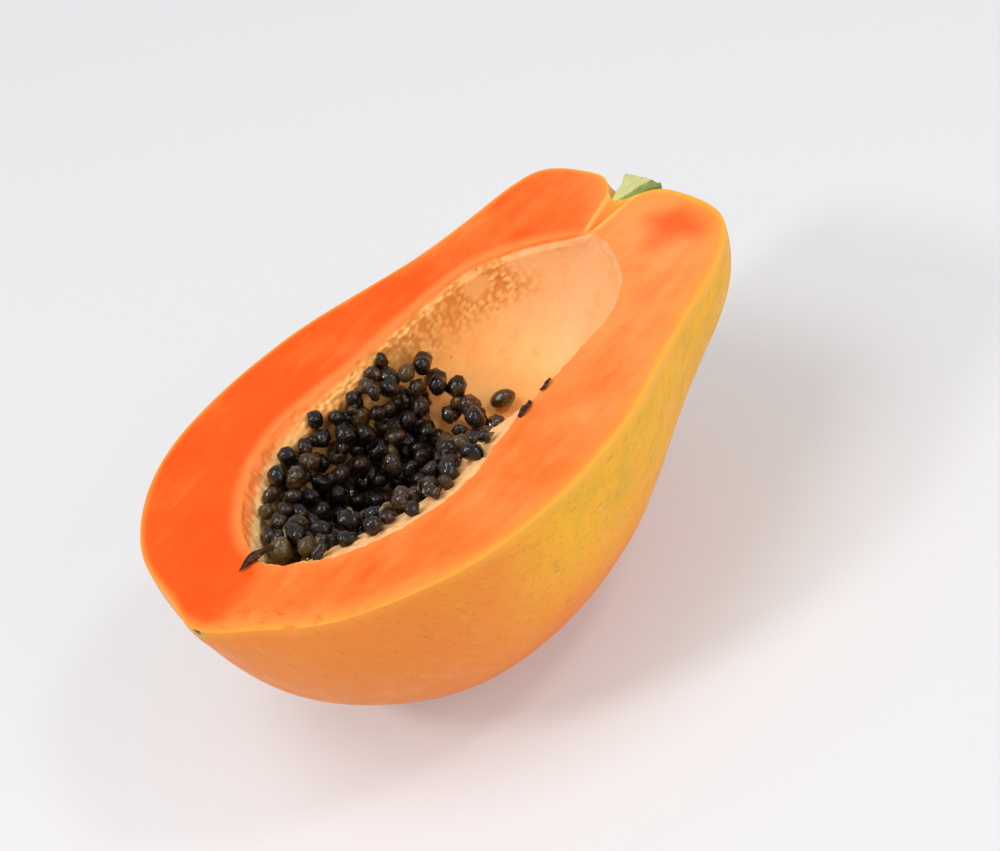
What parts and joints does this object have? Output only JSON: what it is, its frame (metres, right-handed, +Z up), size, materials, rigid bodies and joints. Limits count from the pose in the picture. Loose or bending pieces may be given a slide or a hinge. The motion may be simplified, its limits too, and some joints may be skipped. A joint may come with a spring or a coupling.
{
  "type": "papaya half",
  "caption": "Half a ripe papaya cut lengthwise through its stem, with orange flesh, an open seed cavity and a heap of black seeds.",
  "frame": {"origin": "middle of the part's box, on the surface that it rests on", "axes": "+X along the fruit from the blossom end to the stem, +Z up, square to the level cut face"},
  "size_m": [0.1896, 0.1272, 0.0737],
  "materials": {
    "fruit": "moist flesh and smooth waxy skin",
    "stalk": "green, fibrous, matte",
    "seed": "wet and glossy",
    "dried_pulp": "dark, fibrous, satin"
  },
  "bodies": {
    "root": {"papaya_half": "fruit", "stem": "stalk", "seeds": "seed", "seed_tail": "dried_pulp", "stray_seed_1": "seed", "stray_seed_2": "seed", "lip_shred_1": "dried_pulp", "lip_shred_2": "dried_pulp"}
  },
  "joints": []
}
